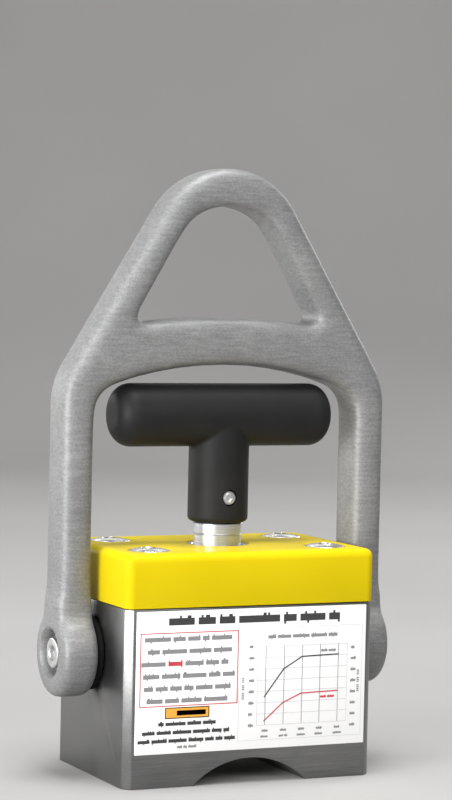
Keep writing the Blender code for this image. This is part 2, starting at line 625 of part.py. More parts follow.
def boss_outline():
    """Side view of a boss, (Y, Z) about the pivot: a disc with a neck blended up into the leg."""
    neck = BAIL_DEPTH / 2 - 0.2 * MM
    blend_z = math.sqrt((BOSS_RADIUS + NECK_BLEND) ** 2 - (neck + NECK_BLEND) ** 2)
    meet = math.atan2(blend_z, neck + NECK_BLEND)
    right = arc((0, 0), BOSS_RADIUS, -math.pi / 2, meet, 16)
    right += arc((neck + NECK_BLEND, blend_z), NECK_BLEND, meet + math.pi, math.pi, 4)[1:]
    right.append((neck, blend_z + NECK_BLEND))
    return right + [(-y, z) for y, z in reversed(right[1:])]


def bail(axis):
    frame = plate_mesh([bail_outline(), eye_outline()], BAIL_DEPTH)
    frame.transform(Matrix.Rotation(math.pi / 2, 4, "X"))
    frame.transform(Matrix.Translation((0, 0, -PIVOT_Z)))
    part = new_part("bail", frame, "cast_bail", (0, 0, PIVOT_Z), axis=axis)
    round_edges(part, BAIL_EDGE_RADIUS, 3, 50)
    middle = (BOSS_INNER + BOSS_OUTER) / 2
    for side, sign, turn in SIDES:
        boss = plate_mesh([boss_outline()], BOSS_OUTER - BOSS_INNER)
        boss.transform(Matrix.Rotation(math.pi / 2, 4, "Z") @ Matrix.Rotation(math.pi / 2, 4, "X"))
        cutter = new_cutter("boss_" + side, boss, (sign * middle, 0, PIVOT_Z))
        round_edges(cutter, 2.5 * MM, 2, 50)
        combine(part, cutter, "UNION")
        bore = cylinder_mesh(PIVOT_BUSH_RADIUS + GAP, 40 * MM, 32)
        combine(part, new_cutter("boss_bore_" + side, bore, (sign * middle, 0, PIVOT_Z), turn))
        recess = cylinder_mesh(RECESS_RADIUS, 2 * RECESS_DEPTH, 32)
        combine(part, new_cutter("boss_recess_" + side, recess, (sign * BOSS_OUTER, 0, PIVOT_Z), turn))


def bail_pivots(axis):
    for side, sign, turn in SIDES:
        pivot_bolt(side, sign, turn)
        inner = PIVOT_SHOULDER_RADIUS + GAP
        washer = ring_mesh(inner, PIVOT_WASHER_RADIUS, BODY_WIDTH / 2 + GAP, BOSS_INNER - GAP)
        new_part("pivot_washer_" + side, washer, "seal_rubber", (0, 0, PIVOT_Z), turn)
        inner_end = BOSS_INNER + 0.2 * MM
        outer_end = BOSS_OUTER - RECESS_DEPTH - 0.2 * MM
        bush = ring_mesh(PIVOT_SHOULDER_RADIUS + 0.2 * MM, PIVOT_BUSH_RADIUS, inner_end, outer_end)
        new_part("pivot_bush_" + side, bush, "bronze", (0, 0, PIVOT_Z), turn, axis)


def pivot_bolt(side, sign, turn):
    """A shoulder bolt: a head in the boss's recess, a shoulder, and a thread into the block."""
    chamfer = 0.5 * MM
    head = PIVOT_HEAD_RADIUS
    outer = BOSS_OUTER - PIVOT_HEAD_INSET
    under = outer - PIVOT_HEAD_HEIGHT
    shoulder_end = BODY_WIDTH / 2 + GAP
    thread_end = BODY_WIDTH / 2 - PIVOT_THREAD_LENGTH
    profile = [(0, outer), (head - chamfer, outer), (head, outer - chamfer), (head, under),
               (PIVOT_SHOULDER_RADIUS, under), (PIVOT_SHOULDER_RADIUS, shoulder_end),
               (M8_RADIUS, shoulder_end), (M8_RADIUS, thread_end), (0, thread_end)]
    bolt = new_part("pivot_bolt_" + side, turned_mesh(profile), "bright_steel", (0, 0, PIVOT_Z), turn)
    hexagon = cylinder_mesh(6 * MM / math.sqrt(3), 2 * 2.6 * MM, 6)
    combine(bolt, new_cutter("pivot_socket_" + side, hexagon, (sign * outer, 0, PIVOT_Z), turn))


clear_scene()
PARTS = new_collection("lifting_magnet")
CUTTERS = new_collection("cutters")
MATERIALS = {name: make_material(name) for name in FINISHES}

housing_block()
top_cap()
cap_screws()
fixed_magnet()
shaft_bush()
thrust_washer()
stop_pin()
detent_spring()
labels()
detent_plunger(new_axis("detent_axis", (0, -DETENT_RADIUS, CARRIER_TOP)))
rotor(new_axis("handle_axis", (0, 0, CAP_TOP)))
bail_axis = new_axis("bail_axis", (0, 0, PIVOT_Z))
bail(bail_axis)
bail_pivots(bail_axis)

for part in PARTS.objects:
    if part.type == "MESH":
        part.data.shade_smooth()
        part.data.set_sharp_from_angle(angle=math.radians(35))
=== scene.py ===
"""Looks of the switchable lifting magnet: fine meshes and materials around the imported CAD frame."""

import json
import math
import random

import bmesh
import bpy
from mathutils import Matrix, Vector


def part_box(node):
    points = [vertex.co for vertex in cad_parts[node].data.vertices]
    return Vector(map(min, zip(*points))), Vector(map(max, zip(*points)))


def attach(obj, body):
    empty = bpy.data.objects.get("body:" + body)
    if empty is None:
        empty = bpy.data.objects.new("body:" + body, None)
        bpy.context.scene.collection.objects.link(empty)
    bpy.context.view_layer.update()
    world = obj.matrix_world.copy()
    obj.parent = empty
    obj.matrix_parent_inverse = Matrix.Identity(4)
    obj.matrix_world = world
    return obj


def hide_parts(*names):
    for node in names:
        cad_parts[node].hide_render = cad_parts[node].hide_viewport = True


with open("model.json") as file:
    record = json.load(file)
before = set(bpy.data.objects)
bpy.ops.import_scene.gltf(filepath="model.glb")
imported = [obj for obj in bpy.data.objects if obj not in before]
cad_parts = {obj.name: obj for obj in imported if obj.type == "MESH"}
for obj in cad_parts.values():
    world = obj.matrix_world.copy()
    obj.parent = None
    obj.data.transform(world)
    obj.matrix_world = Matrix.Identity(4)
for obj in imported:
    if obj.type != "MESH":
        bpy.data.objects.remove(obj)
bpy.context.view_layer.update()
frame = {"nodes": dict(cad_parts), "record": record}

MM = 0.001
INK_THICKNESS = 0.06 * MM
INK_LIFT = 0.02 * MM

# ---------------------------------------------------------------- camera, lights and floor

CAMERA_TURN = math.radians(24.7)       # to the left of the front
CAMERA_DROP = math.radians(2.6)        # looking down
CAMERA_ROLL = math.radians(1.25)
CAMERA_DISTANCE = 1.18
CAMERA_TARGET = Vector((0.0045, 0.0, 0.1639))
CAMERA_LENS = 121.4                    # mm, on a 36 mm sensor along the long side
CAMERA_SHIFT = (-0.0043, -0.0073)
LIGHT_TARGET = Vector((0, 0, 0.11))
WORLD_COLOR = (0.80, 0.81, 0.82, 1)
WORLD_STRENGTH = 0.06
FLOOR_RADIUS = 1.7                     # of the flat part
FLOOR_BEND = 0.8                       # radius of the curve from the floor into the wall
FLOOR_WALL = 3.2
FLOOR_SIDES = 128
FLOOR_STEPS = 16


def direction(turn, height):
    """The unit vector towards a place seen this far to the left of the front, and this high."""
    return Vector((-math.sin(turn) * math.cos(height), -math.cos(turn) * math.cos(height),
                   math.sin(height)))


def make_camera():
    back = direction(CAMERA_TURN, CAMERA_DROP)
    data = bpy.data.cameras.new("camera")
    data.sensor_width = 36
    data.lens = CAMERA_LENS
    data.shift_x, data.shift_y = CAMERA_SHIFT
    data.clip_start = 0.05
    camera = bpy.data.objects.new("camera", data)
    bpy.context.scene.collection.objects.link(camera)
    turn = (-back).to_track_quat("-Z", "Y").to_matrix().to_4x4()
    place = Matrix.Translation(CAMERA_TARGET + back * CAMERA_DISTANCE)
    camera.matrix_world = place @ turn @ Matrix.Rotation(CAMERA_ROLL, 4, "Z")
    bpy.context.scene.camera = camera


def area_light(name, turn, height, distance, size, power):
    """A soft box: turn is in degrees to the left of the front, height in degrees above level."""
    back = direction(math.radians(turn), math.radians(height))
    data = bpy.data.lights.new(name, "AREA")
    data.shape = "RECTANGLE"
    data.size, data.size_y = size
    data.energy = power
    light = bpy.data.objects.new(name, data)
    bpy.context.scene.collection.objects.link(light)
    light.location = LIGHT_TARGET + back * distance
    light.rotation_mode = "QUATERNION"
    light.rotation_quaternion = (-back).to_track_quat("-Z", "Y")


def make_lights():
    area_light("key_box", 68, 23, 1.6, (2.1, 1.0), 14.5)
    area_light("key_strip", 66, 7, 1.7, (0.70, 0.50), 28)
    area_light("rim_card", 132, 12, 1.5, (0.9, 0.5), 5.5)
    area_light("front_fill", 0, 30, 1.9, (0.8, 0.7), 12)
    area_light("top_box", -10, 84, 2.0, (1.1, 1.1), 59)
    area_light("right_edge", -118, 25, 1.5, (0.3, 0.9), 3.8)
    area_light("back_left", 158, 9, 2.0, (0.5, 0.4), 4.2)
    area_light("back_high", -155, 24, 2.0, (1.0, 0.35), 1.6)
    area_light("back_right", -132, 13, 2.0, (0.5, 0.4), 4.6)
    world = bpy.data.worlds.new("studio")
    world.use_nodes = True
    background = world.node_tree.nodes["Background"]
    background.inputs["Color"].default_value = WORLD_COLOR
    background.inputs["Strength"].default_value = WORLD_STRENGTH
    bpy.context.scene.world = world
    bpy.context.scene.view_settings.view_transform = "Standard"


def make_floor():
    """A pale round sweep: a flat floor that curves up into a wall all round the object."""
    profile = [(FLOOR_RADIUS, 0.0)]
    for step in range(1, FLOOR_STEPS + 1):
        angle = math.pi / 2 * step / FLOOR_STEPS
        profile.append((FLOOR_RADIUS + FLOOR_BEND * math.sin(angle), FLOOR_BEND * (1 - math.cos(angle))))
    profile.append((FLOOR_RADIUS + FLOOR_BEND, FLOOR_WALL))
    build = bmesh.new()
    rows = [ring(build, radius, z, FLOOR_SIDES) for radius, z in profile]
    build.faces.new(rows[0])
    for lower, upper in zip(rows, rows[1:]):
        for i in range(FLOOR_SIDES):
            j = (i + 1) % FLOOR_SIDES
            build.faces.new((lower[i], upper[i], upper[j], lower[j]))
    floor = from_bmesh("floor_sweep", build)
    floor.data.shade_smooth()
    floor.data.materials.append(floor_material())


# ---------------------------------------------------------------- materials

MIX_COLOR_A = 6                        # a Mix node's sockets for colours
MIX_COLOR_B = 7
MIX_COLOR_RESULT = 2


class Recipe:
    """A Principled material with short ways to add textures to it."""

    def __init__(self, name, color, roughness, metallic=0.0, **sockets):
        self.material = bpy.data.materials.new(name)
        self.material.use_nodes = True
        self.tree = self.material.node_tree
        self.shader = self.tree.nodes["Principled BSDF"]
        self.set("Base Color", (*color, 1.0))
        self.set("Roughness", roughness)
        self.set("Metallic", metallic)
        for socket, value in sockets.items():
            self.set(socket.replace("_", " "), value)
        self.place = self.tree.nodes.new("ShaderNodeTexCoord").outputs["Object"]
        self.relief = None

    def set(self, socket, value):
        self.shader.inputs[socket].default_value = value

    def stretched(self, x, y, z):
        """Places scaled along each axis: below 1, a pattern is drawn out that way."""
        mapping = self.tree.nodes.new("ShaderNodeMapping")
        mapping.inputs["Scale"].default_value = (x, y, z)
        self.tree.links.new(self.place, mapping.inputs["Vector"])
        return mapping.outputs["Vector"]

    def noise(self, size, detail=3.0, roughness=0.55, vector=None):
        """Noise with features of about this size in metres."""
        node = self.tree.nodes.new("ShaderNodeTexNoise")
        node.inputs["Scale"].default_value = 1.0 / size
        node.inputs["Detail"].default_value = detail
        node.inputs["Roughness"].default_value = roughness
        self.tree.links.new(vector or self.place, node.inputs["Vector"])
        return node.outputs["Fac"]

    def speckle(self, size):
        """Cells of about this size, dark at their centres."""
        node = self.tree.nodes.new("ShaderNodeTexVoronoi")
        node.inputs["Scale"].default_value = 1.0 / size
        self.tree.links.new(self.place, node.inputs["Vector"])
        return node.outputs["Distance"]

    def ramp(self, source, stops):
        """Turns a 0 to 1 source into a colour or a value: stops are (position, grey or colour)."""
        node = self.tree.nodes.new("ShaderNodeValToRGB")
        elements = node.color_ramp.elements
        while len(elements) < len(stops):
            elements.new(0.5)
        for element, (position, value) in zip(elements, stops):
            element.position = position
            rgb = value if isinstance(value, tuple) else (value, value, value)
            element.color = (*rgb, 1.0)
        self.tree.links.new(source, node.inputs["Fac"])
        return node.outputs["Color"]

    def multiplied(self, first, second):
        """The product of two colours."""
        node = self.tree.nodes.new("ShaderNodeMix")
        node.data_type = "RGBA"
        node.blend_type = "MULTIPLY"
        node.inputs["Factor"].default_value = 1.0
        for socket, value in ((MIX_COLOR_A, first), (MIX_COLOR_B, second)):
            self.tree.links.new(value, node.inputs[socket])
        return node.outputs[MIX_COLOR_RESULT]

    def link(self, source, socket):
        self.tree.links.new(source, self.shader.inputs[socket])

    def bump(self, source, depth, strength=1.0):
        """Adds relief of this depth in metres on top of any before it."""
        node = self.tree.nodes.new("ShaderNodeBump")
        node.inputs["Strength"].default_value = strength
        node.inputs["Distance"].default_value = depth
        self.tree.links.new(source, node.inputs["Height"])
        if self.relief:
            self.tree.links.new(self.relief, node.inputs["Normal"])
        self.relief = node.outputs["Normal"]
        self.tree.links.new(self.relief, self.shader.inputs["Normal"])


def floor_material():
    """Plain matte paint with a barely visible unevenness."""
    paint = Recipe("pale_floor", (0.335, 0.331, 0.326), 0.90, Specular_IOR_Level=0.05)
    cloud = paint.noise(0.35, 2.0)
    shades = [(0.3, (0.324, 0.320, 0.315)), (0.7, (0.347, 0.343, 0.338))]
    paint.link(paint.ramp(cloud, shades), "Base Color")
    return paint.material


def cast_grey():
    """Fine investment-cast steel with a dull grey coat: sandy grain and faint cloudy patches."""
    cast = Recipe("cast_grey", (0.25, 0.25, 0.255), 0.56, 0.45, Specular_IOR_Level=0.35)
    cloud = cast.noise(22 * MM, 4.0)
    grain = cast.noise(0.75 * MM, 3.0, 0.65)
    drawn = cast.noise(1.1 * MM, 2.0, 0.6, cast.stretched(0.10, 0.4, 1.0))
    base = cast.ramp(cloud, [(0.32, (0.233, 0.234, 0.237)), (0.68, (0.274, 0.275, 0.276))])
    fine = cast.ramp(grain, [(0.36, 0.80), (0.64, 1.08)])
    lined = cast.ramp(drawn, [(0.38, 0.86), (0.62, 1.04)])
    cast.link(cast.multiplied(cast.multiplied(base, fine), lined), "Base Color")
    cast.link(cast.ramp(grain, [(0.3, 0.50), (0.7, 0.64)]), "Roughness")
    cast.bump(cast.noise(3.2 * MM, 2.0), 0.10 * MM, 0.6)
    cast.bump(grain, 0.06 * MM, 0.9)
    cast.bump(drawn, 0.08 * MM, 0.8)
    return cast.material


def ground_steel():
    """Surface-ground steel: fine lines along X, cloudy oil film and a few dark pits."""
    tone, roughness = 0.21, 0.36
    steel = Recipe("ground_steel", (tone,) * 3, roughness, 1.0)
    lines = steel.noise(0.55 * MM, 3.0, 0.65, steel.stretched(0.03, 1.0, 1.0))
    cloud = steel.noise(26 * MM, 4.0)
    pits = steel.speckle(2.7 * MM)
    base = steel.ramp(cloud, [(0.30, (tone * 0.88, tone * 0.885, tone * 0.90)),
                              (0.70, (tone * 1.10, tone * 1.10, tone * 1.09))])
    shade = steel.ramp(lines, [(0.30, 0.82), (0.70, 1.10)])
    spots = steel.ramp(pits, [(0.035, 0.55), (0.07, 1.0)])
    steel.link(steel.multiplied(steel.multiplied(base, shade), spots), "Base Color")
    steel.link(steel.ramp(cloud, [(0.3, roughness * 0.85), (0.7, roughness * 1.25)]), "Roughness")
    steel.bump(lines, 0.012 * MM, 0.8)
    steel.bump(pits, 0.02 * MM, 0.25)
    return steel.material


def yellow_paint():
    """Satin safety-yellow powder coat with a slight orange peel and soft darker patches."""
    paint = Recipe("yellow_paint", (0.595, 0.453, 0.004), 0.50, Specular_IOR_Level=0.05)
    cloud = paint.noise(30 * MM, 4.0)
    shades = [(0.3, (0.575, 0.440, 0.003)), (0.7, (0.620, 0.475, 0.005))]
    paint.link(paint.ramp(cloud, shades), "Base Color")
    peel = paint.noise(1.9 * MM, 2.0)
    paint.link(paint.ramp(peel, [(0.3, 0.37), (0.7, 0.47)]), "Roughness")
    paint.bump(peel, 0.03 * MM, 0.55)
    paint.bump(paint.noise(0.5 * MM, 2.0), 0.008 * MM, 0.5)
    return paint.material


def moulded_black():
    """Matte moulded grip: near black, with a fine spark-eroded grain."""
    grip = Recipe("moulded_black", (0.013, 0.013, 0.0135), 0.58, Specular_IOR_Level=0.17)
    cloud = grip.noise(18 * MM, 3.0)
    shades = [(0.3, (0.0105, 0.0105, 0.0110)), (0.7, (0.0145, 0.0145, 0.0150))]
    grip.link(grip.ramp(cloud, shades), "Base Color")
    grain = grip.noise(0.42 * MM, 3.0, 0.7)
    grip.link(grip.ramp(grain, [(0.3, 0.47), (0.7, 0.63)]), "Roughness")
    grip.bump(grain, 0.022 * MM, 0.8)
    return grip.material


def turned_steel(name, tone, roughness, pitch):
    """Bright turned steel: fine rings, at about this pitch, along the piece's own axis, which is Z; its
    colours are tinted blue as painted colour that cancels the cap's yellow reflection.
    """
    steel = Recipe(name, (tone,) * 3, roughness, 1.0)
    rings = steel.noise(pitch, 2.0, 0.5, steel.stretched(0.02, 0.02, 1.0))
    cloud = steel.noise(9 * MM, 3.0)
    # Both ring colours lean blue: painted colour that cancels the yellow reflection of the cap.
    dark = (0.78 * tone, 0.82 * tone, 0.95 * tone)
    light = (1.05 * tone, 1.10 * tone, 1.27 * tone)
    shade = steel.ramp(rings, [(0.3, dark), (0.7, light)])
    smear = steel.ramp(cloud, [(0.3, 0.96), (0.7, 1.03)])
    steel.link(steel.multiplied(shade, smear), "Base Color")
    steel.link(steel.ramp(rings, [(0.3, roughness * 0.9), (0.7, roughness * 1.15)]), "Roughness")
    steel.bump(rings, 0.002 * MM, 0.6)
    return steel.material


def plated_screw():
    """Zinc-plated fastener: bright, faintly blotchy, with a fine grain."""
    plate = Recipe("plated_screw", (0.72, 0.72, 0.73), 0.26, 1.0)
    cloud = plate.noise(3.5 * MM, 4.0)
    shades = [(0.3, (0.60, 0.605, 0.615)), (0.7, (0.82, 0.82, 0.81))]
    plate.link(plate.ramp(cloud, shades), "Base Color")
    plate.link(plate.ramp(cloud, [(0.3, 0.28), (0.7, 0.42)]), "Roughness")
    plate.bump(plate.noise(0.4 * MM, 2.0), 0.012 * MM, 0.6)
    return plate.material


def scuffed_screw():
    """The cap screws' heads: bright plating, worn through to darker steel in small patches."""
    plate = Recipe("scuffed_screw", (0.62, 0.62, 0.63), 0.22, 1.0)
    patch = plate.noise(2.4 * MM, 5.0, 0.7)
    shades = [(0.38, (0.30, 0.30, 0.305)), (0.47, (0.72, 0.72, 0.73)), (0.60, (0.93, 0.93, 0.92))]
    plate.link(plate.ramp(patch, shades), "Base Color")
    plate.link(plate.ramp(patch, [(0.3, 0.38), (0.7, 0.16)]), "Roughness")
    plate.bump(patch, 0.03 * MM, 0.6)
    return plate.material


def printed_film():
    """White label film under a clear gloss, with the faintest waviness of something stuck on."""
    film = Recipe("printed_film", (0.86, 0.86, 0.86), 0.30, Coat_Weight=0.5, Coat_Roughness=0.12)
    cloud = film.noise(40 * MM, 2.0)
    film.link(film.ramp(cloud, [(0.3, (0.850,) * 3), (0.7, (0.870,) * 3)]), "Base Color")
    film.bump(film.noise(14 * MM, 2.0), 0.05 * MM, 0.35)
    return film.material


def ink(name, color):
    """Printed ink, with a faint unevenness of the print."""
    printed = Recipe(name, color, 0.38, Coat_Weight=0.4, Coat_Roughness=0.15)
    worn = printed.noise(0.8 * MM, 3.0)
    light = tuple(min(1.0, c * 1.12 + 0.006) for c in color)
    printed.link(printed.ramp(worn, [(0.35, color), (0.7, light)]), "Base Color")
    return printed.material


def plain_metal(name, dark, light, roughness, grain):
    """An inner machined or plated piece, with a fine grain."""
    metal = Recipe(name, dark, roughness, 1.0)
    cloud = metal.noise(grain, 4.0)
    metal.link(metal.ramp(cloud, [(0.3, dark), (0.7, light)]), "Base Color")
    metal.bump(metal.noise(grain / 8, 2.0), 0.01 * MM, 0.6)
    return metal.material


def rubber_darkened_as_gap_shade():
    """Black washer and seal rubber, a little dusty, darkened to near black as painted shade in the gap
    behind each pivot boss.
    """
    # Near-black base colour: painted shade for the gap between each boss and the block, shared with the
    # seal rubber.
    rubber = Recipe("rubber_darkened_as_gap_shade", (0.008, 0.008, 0.008), 0.80, Specular_IOR_Level=0.1)
    dust = rubber.noise(2.2 * MM, 4.0)
    rubber.link(rubber.ramp(dust, [(0.3, (0.005,) * 3), (0.75, (0.011,) * 3)]), "Base Color")
    rubber.bump(rubber.noise(0.3 * MM, 2.0), 0.01 * MM, 0.6)
    return rubber.material


# ---------------------------------------------------------------- shapes

SLIVER = 0.004 * MM
SMOOTH_ALL = 180                       # degrees: no edge is kept sharp
ON_AXIS = 1e-7
THROUGH = 0.1                          # length of a cutter that goes right through


def linked(name, mesh):
    piece = bpy.data.objects.new(name, mesh)
    bpy.context.scene.collection.objects.link(piece)
    return piece


def from_bmesh(name, build):
    mesh = bpy.data.meshes.new(name)
    build.to_mesh(mesh)
    build.free()
    return linked(name, mesh)


def ring(build, radius, z, sides):
    """A ring of new vertices about Z."""
    angles = [math.tau * i / sides for i in range(sides)]
    return [build.verts.new((radius * math.cos(a), radius * math.sin(a), z)) for a in angles]


def applied(piece, crease):
    """Applies the piece's modifiers and shades it smooth up to the crease angle, in degrees."""
    bpy.context.view_layer.update()
    graph = bpy.context.evaluated_depsgraph_get()
    mesh = bpy.data.meshes.new_from_object(piece.evaluated_get(graph))
    piece.modifiers.clear()
    piece.data = mesh
    mesh.shade_smooth()
    if crease < SMOOTH_ALL:
        mesh.set_sharp_from_angle(angle=math.radians(crease))
    return piece


def welded(piece, crease):
    """Applies the piece's modifiers and closes the slivers that a Boolean or a bevel leaves."""
    applied(piece, SMOOTH_ALL)
    build = bmesh.new()
    build.from_mesh(piece.data)
    bmesh.ops.remove_doubles(build, verts=build.verts, dist=SLIVER)
    bmesh.ops.dissolve_degenerate(build, edges=build.edges, dist=SLIVER)
    build.to_mesh(piece.data)
    build.free()
    return applied(piece, crease)


def cylinder(name, radius, depth, center, axis="Z", sides=96):
    build = bmesh.new()
    bmesh.ops.create_cone(build, cap_ends=True, segments=sides, radius1=radius, radius2=radius,
                          depth=depth)
    turn = {"X": Matrix.Rotation(math.pi / 2, 4, "Y"), "Y": Matrix.Rotation(math.pi / 2, 4, "X"),
            "Z": Matrix.Identity(4)}[axis]
    build.transform(Matrix.Translation(center) @ turn)
    return from_bmesh(name, build)


def block(name, low, high, vertical=0.0, top=0.0, segments=1):
    """A box whose upright edges, and whose top edges too if asked, are rounded or chamfered."""
    build = bmesh.new()
    size = high - low
    bmesh.ops.create_cube(build, size=1)
    build.transform(Matrix.Translation((low + high) / 2) @ Matrix.Diagonal((*size, 1)))
    middle = (low.z + high.z) / 2
    edges = []
    for edge in build.edges:
        a, b = edge.verts
        upright = abs(a.co.z - b.co.z) > size.z / 2
        on_top = a.co.z > middle and b.co.z > middle
        if upright and vertical or on_top and top:
            edges.append(edge)
    bmesh.ops.bevel(build, geom=edges, offset=vertical, segments=segments, profile=0.5, affect="EDGES")
    return from_bmesh(name, build)


def cut(piece, cutter, operation="DIFFERENCE"):
    """Applies one Boolean to the piece and removes the cutter."""
    modifier = piece.modifiers.new("cut", "BOOLEAN")
    modifier.operation = operation
    modifier.object = cutter
    modifier.solver = "EXACT"
    applied(piece, SMOOTH_ALL)
    bpy.data.objects.remove(cutter, do_unlink=True)


def soften(piece, width, segments, angle):
    """Rounds the edges that turn by more than the angle, in degrees."""
    modifier = piece.modifiers.new("edge", "BEVEL")
    modifier.width = width
    modifier.segments = segments
    modifier.limit_method = "ANGLE"
    modifier.angle_limit = math.radians(angle)
    return welded(piece, 40)


def remeshed(piece, voxel, rounds):
    """Rebuilds the piece as an even fine mesh and smooths it, which melts its edges and joins."""
    remesh = piece.modifiers.new("voxels", "REMESH")
    remesh.mode = "VOXEL"
    remesh.voxel_size = voxel
    smooth = piece.modifiers.new("melt", "SMOOTH")
    smooth.factor = 0.5
    smooth.iterations = rounds
    return applied(piece, SMOOTH_ALL)


def turned(name, profile, sides=96):
    """Turns (radius, z) points about Z into a closed piece; points at radius 0 lie on the axis."""
    build = bmesh.new()
    rows = []
    for radius, z in profile:
        on_axis = radius < ON_AXIS
        rows.append([build.verts.new((0, 0, z))] if on_axis else ring(build, radius, z, sides))
    if len(rows[0]) > 1:
        rows.append(rows[0])
    for upper, lower in zip(rows, rows[1:]):
        for i in range(sides):
            j = (i + 1) % sides
            corners = [upper[i % len(upper)], lower[i % len(lower)], lower[j % len(lower)],
                       upper[j % len(upper)]]
            unique = list(dict.fromkeys(corners))
            if len(unique) > 2:
                build.faces.new(unique)
    bmesh.ops.recalc_face_normals(build, faces=build.faces)
    return from_bmesh(name, build)


def corner(radius, center, start, end, steps=5):
    """Points of a round corner in a turned profile, between two angles in degrees."""
    points = []
    for i in range(steps + 1):
        angle = math.radians(start + (end - start) * i / steps)
        points.append((center[0] + radius * math.cos(angle), center[1] + radius * math.sin(angle)))
    return points


def placed(piece, matrix):
    piece.data.transform(matrix)
    return piece


def show(piece, material, slot, body, *nodes):
    """Gives the piece its material and body, and hides the CAD nodes it stands for. The slot is not used.
    """
    piece.data.materials.clear()
    piece.data.materials.append(material)
    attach(piece, body)
    if nodes:
        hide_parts(*nodes)
    return piece


TO_FRONT = Matrix.Rotation(math.pi / 2, 4, "X")        # +Z to -Y
TO_LEFT = Matrix.Rotation(-math.pi / 2, 4, "Y")        # +Z to -X
TO_RIGHT = Matrix.Rotation(math.pi / 2, 4, "Y")        # +Z to +X


# ---------------------------------------------------------------- housing

BLOCK_LOW, BLOCK_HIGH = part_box("housing_block")
CAP_LOW, CAP_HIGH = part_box("top_cap")
BAIL_LOW, BAIL_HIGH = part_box("bail")
NOTCH_HEIGHT = 10.7 * MM
NOTCH_RADIUS = 37.9 * MM
BLOCK_CHAMFER = 3.3 * MM
CAP_EDGE = 3.7 * MM
BOSS_RADIUS = 18.5 * MM
PIVOT = Vector((0, 0, BAIL_LOW.z + BOSS_RADIUS))
PIVOT_SIDES = (("left", TO_LEFT), ("right", TO_RIGHT))
PIVOT_HOLE = (4.3 * MM, 32 * MM)       # radius, and length of its cutter
CAP_SCREWS = [f"cap_screw_{end}_{side}" for end in ("front", "rear") for side in ("left", "right")]
CAP_SCREW_HEAD = 4.0 * MM
CAP_SCREW_SEAT = 3.1 * MM              # deep
CAP_SCREW_HOLE = 4.4 * MM
CAP_BORE = 12.9 * MM
RING_RECESS = 2.2 * MM                 # deep
CLEARANCE = 0.35 * MM                  # round the pieces that sit in the cap
M8_SHANK = 4 * MM
M8_SOCKET = 6 * MM                     # across flats
TURN_LEFT_SCREWS = math.radians(17)
TURN_RIGHT_SCREWS = math.radians(41)


def make_block(material):
    body = block("block_body", BLOCK_LOW, BLOCK_HIGH, vertical=BLOCK_CHAMFER)
    cut(body, cylinder("notch", NOTCH_RADIUS, 2 * THROUGH, (0, 0, NOTCH_HEIGHT - NOTCH_RADIUS), "Y", 240))
    radius, length = PIVOT_HOLE
    for sign in (-1, 1):
        cut(body, cylinder("pivot_hole", radius, length, (sign * BLOCK_HIGH.x, 0, PIVOT.z), "X", 48))
    soften(body, 0.45 * MM, 2, 25)
    show(body, material, "block_steel", "housing", "housing_block")


def make_cap(material):
    cap = block("cap_cover", CAP_LOW, CAP_HIGH, vertical=CAP_EDGE, top=CAP_EDGE, segments=8)
    _, ring_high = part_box("shaft_bush")
    recess = ring_high.x + CLEARANCE
    cut(cap, cylinder("recess", recess, 2 * RING_RECESS, (0, 0, CAP_HIGH.z)))
    cut(cap, cylinder("bore", CAP_BORE, THROUGH, (0, 0, CAP_HIGH.z)))
    for name in CAP_SCREWS:
        low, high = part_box(name)
        spot = ((low.x + high.x) / 2, (low.y + high.y) / 2, CAP_HIGH.z)
        seat = (high.x - low.x) / 2 + CLEARANCE
        cut(cap, cylinder("seat", seat, 2 * CAP_SCREW_SEAT, spot))
        cut(cap, cylinder("hole", CAP_SCREW_HOLE, THROUGH, spot, sides=48))
    soften(cap, 0.35 * MM, 2, 40)
    show(cap, material, "yellow_paint", "housing", "top_cap")


def socket_cutters(across_flats, depth, mouth, throat, top):
    """Cutters for a hexagon socket and its bevelled mouth, below a head whose top is at this height."""
    hexagon = cylinder("hexagon", across_flats / math.sqrt(3), 2 * depth, (0, 0, top), sides=6)
    above, below = top + 0.6 * MM, top - throat[1]
    lead_in = turned("lead_in", [(0, above), (mouth, above), (throat[0], below), (0, below)], 48)
    return hexagon, lead_in


def socket_screw(name, head, shank, socket, dome, edge):
    """A screw along Z with its head's top at z = 0: a crowned head, a rim and a hexagon socket.
    head and shank are (radius, length), socket is (across flats, depth)."""
    (head_radius, head_height), (shank_radius, shank_length), (across_flats, depth) = head, shank, socket
    tip, end = 0.6 * MM, -head_height - shank_length
    rim = edge * 0.7
    profile = [(0, 0)]
    for share in (0.35, 0.6, 0.8):
        profile.append((head_radius * share, -dome * share ** 2.2))
    profile.append((head_radius - edge, -dome))
    profile += corner(rim, (head_radius - rim, -dome - rim), 60, 0, 3)
    profile += [(head_radius, -head_height), (shank_radius, -head_height), (shank_radius, end + tip),
                (shank_radius - tip, end), (0, end)]
    screw = turned(name, profile, 72)
    throat = (across_flats * 0.5, 0.55 * MM)
    for cutter in socket_cutters(across_flats, depth, across_flats * 0.66, throat, 0):
        cut(screw, cutter)
    return welded(screw, 28)


def make_cap_screws(material):
    for name in CAP_SCREWS:
        low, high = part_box(name)
        center = (low + high) / 2
        shank = (M8_SHANK, high.z - low.z - CAP_SCREW_HEAD)
        screw = socket_screw(name + "_fine", ((high.x - low.x) / 2, CAP_SCREW_HEAD), shank,
                             (M8_SOCKET, 2.2 * MM), 1.1 * MM, 0.5 * MM)
        turn = TURN_LEFT_SCREWS if "left" in name else TURN_RIGHT_SCREWS
        placed(screw, Matrix.Translation((center.x, center.y, high.z)) @ Matrix.Rotation(turn, 4, "Z"))
        show(screw, material, "bright_steel", "housing", name)


